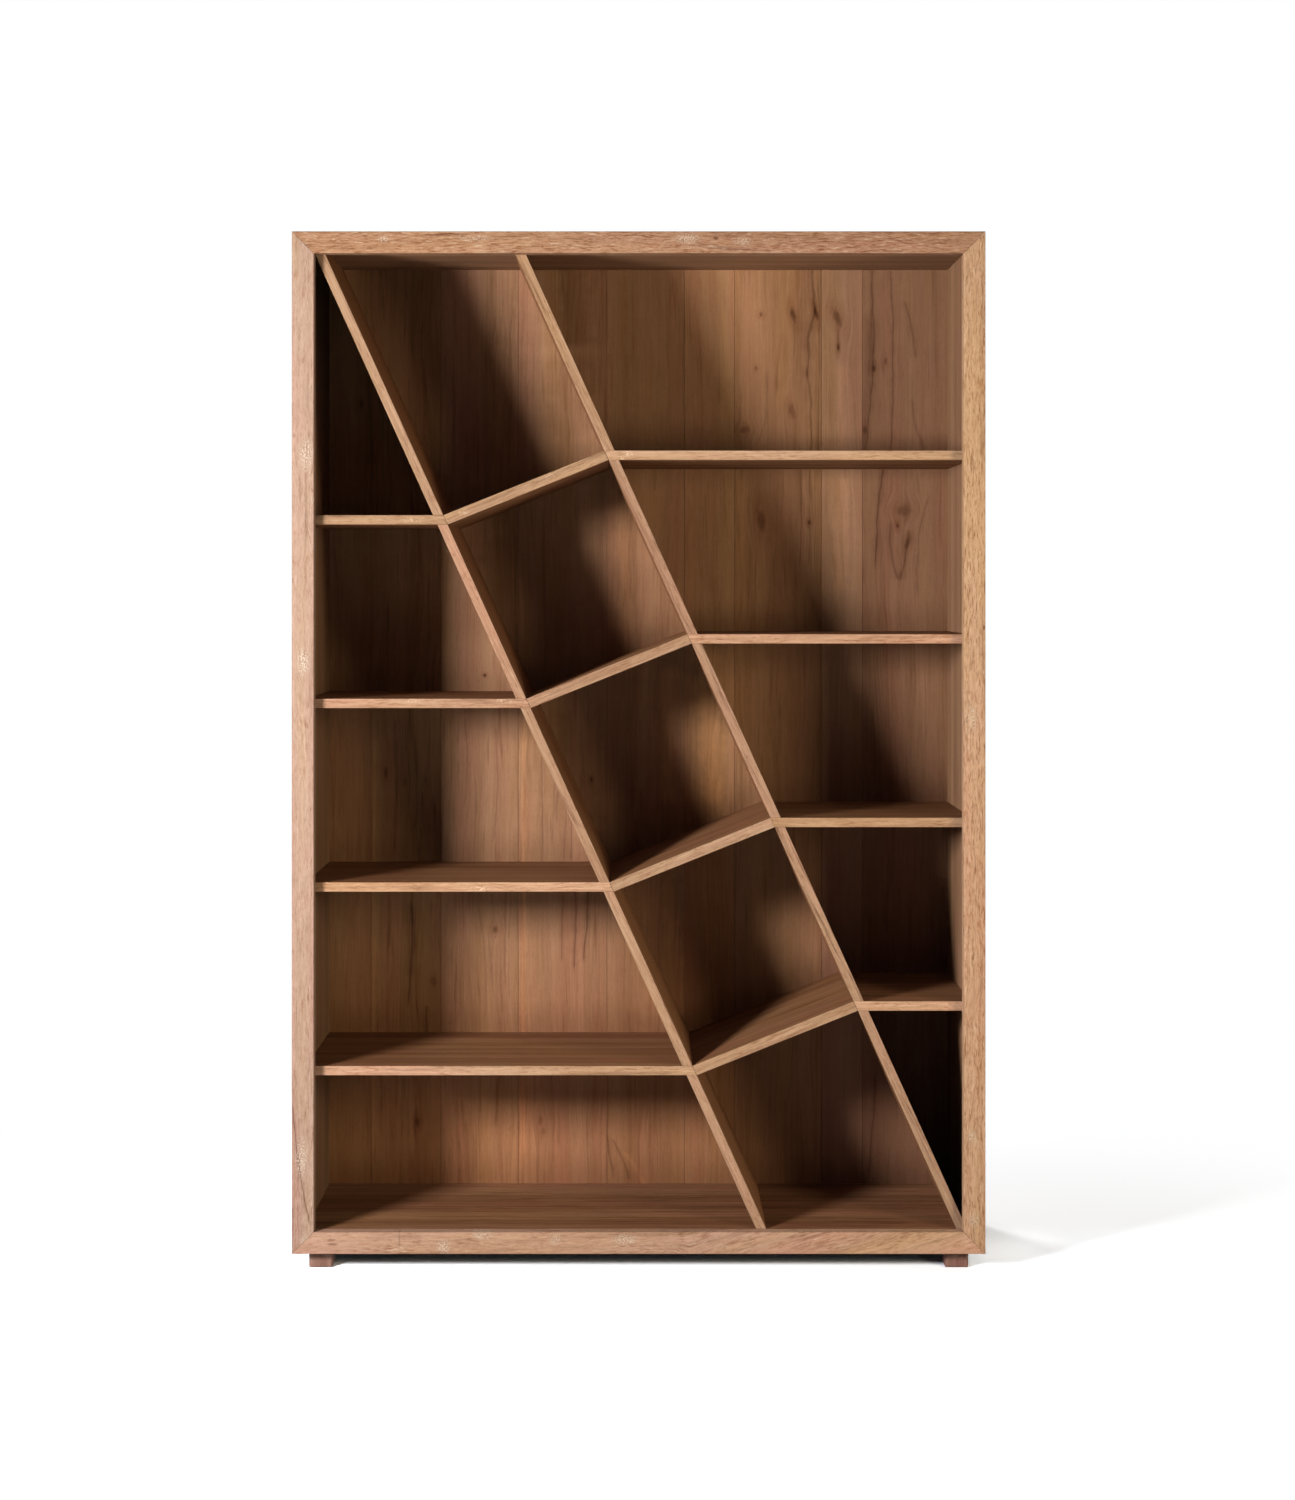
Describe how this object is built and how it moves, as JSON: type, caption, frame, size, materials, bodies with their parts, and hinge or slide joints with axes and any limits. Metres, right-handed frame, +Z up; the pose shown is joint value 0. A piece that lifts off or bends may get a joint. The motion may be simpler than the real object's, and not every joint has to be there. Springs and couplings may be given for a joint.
{
  "type": "bookcase",
  "caption": "Tall open solid-wood bookcase with a mitred face frame, shelves that step up in a zigzag and leaning dividers between them, on low block feet.",
  "frame": {"origin": "on the floor, under the middle of the carcass", "axes": "+X to the right seen from the front, +Y from the open front to the back, +Z up"},
  "size_m": [1.4, 0.4, 2.1],
  "materials": {
    "frame_teak": "planed and oiled teak, satin, pale sanding marks",
    "carcass_teak": "oiled teak boards, satin",
    "shelf_teak": "oiled teak boards, satin",
    "back_teak": "oiled teak planks with dark veins and small knots, satin",
    "foot_teak": "dark oiled teak, satin",
    "spline_teak": "plain teak, unfinished inside the joints",
    "screw_steel": "zinc-plated steel"
  },
  "bodies": {
    "root": {"back_plank_1": "back_teak", "back_plank_2": "back_teak", "back_plank_3": "back_teak", "back_plank_4": "back_teak", "back_plank_5": "back_teak", "back_plank_6": "back_teak", "back_plank_7": "back_teak", "back_plank_8": "back_teak", "back_plank_9": "back_teak", "bottom_board": "carcass_teak", "corner_spline_left": "spline_teak", "corner_spline_right": "spline_teak", "divider_left_1": "shelf_teak", "divider_left_2": "shelf_teak", "divider_left_3": "shelf_teak", "divider_left_4": "shelf_teak", "divider_left_5": "shelf_teak", "divider_right_1": "shelf_teak", "divider_right_2": "shelf_teak", "divider_right_3": "shelf_teak", "divider_right_4": "shelf_teak", "divider_right_5": "shelf_teak", "foot_back_left": "foot_teak", "foot_back_right": "foot_teak", "foot_front_left": "foot_teak", "foot_front_right": "foot_teak", "foot_screw_back_left": "screw_steel", "foot_screw_back_right": "screw_steel", "foot_screw_front_left": "screw_steel", "foot_screw_front_right": "screw_steel", "frame_rail_bottom": "frame_teak", "frame_rail_top": "frame_teak", "frame_stile_left": "frame_teak", "frame_stile_right": "frame_teak", "shelf_1_climb": "shelf_teak", "shelf_1_left": "shelf_teak", "shelf_1_right": "shelf_teak", "shelf_1_spline_left": "spline_teak", "shelf_1_spline_right": "spline_teak", "shelf_2_climb": "shelf_teak", "shelf_2_left": "shelf_teak", "shelf_2_right": "shelf_teak", "shelf_2_spline_left": "spline_teak", "shelf_2_spline_right": "spline_teak", "shelf_3_climb": "shelf_teak", "shelf_3_left": "shelf_teak", "shelf_3_right": "shelf_teak", "shelf_3_spline_left": "spline_teak", "shelf_3_spline_right": "spline_teak", "shelf_4_climb": "shelf_teak", "shelf_4_left": "shelf_teak", "shelf_4_right": "shelf_teak", "shelf_4_spline_left": "spline_teak", "shelf_4_spline_right": "spline_teak", "side_left": "carcass_teak", "side_right": "carcass_teak", "top_board": "carcass_teak"}
  },
  "joints": []
}
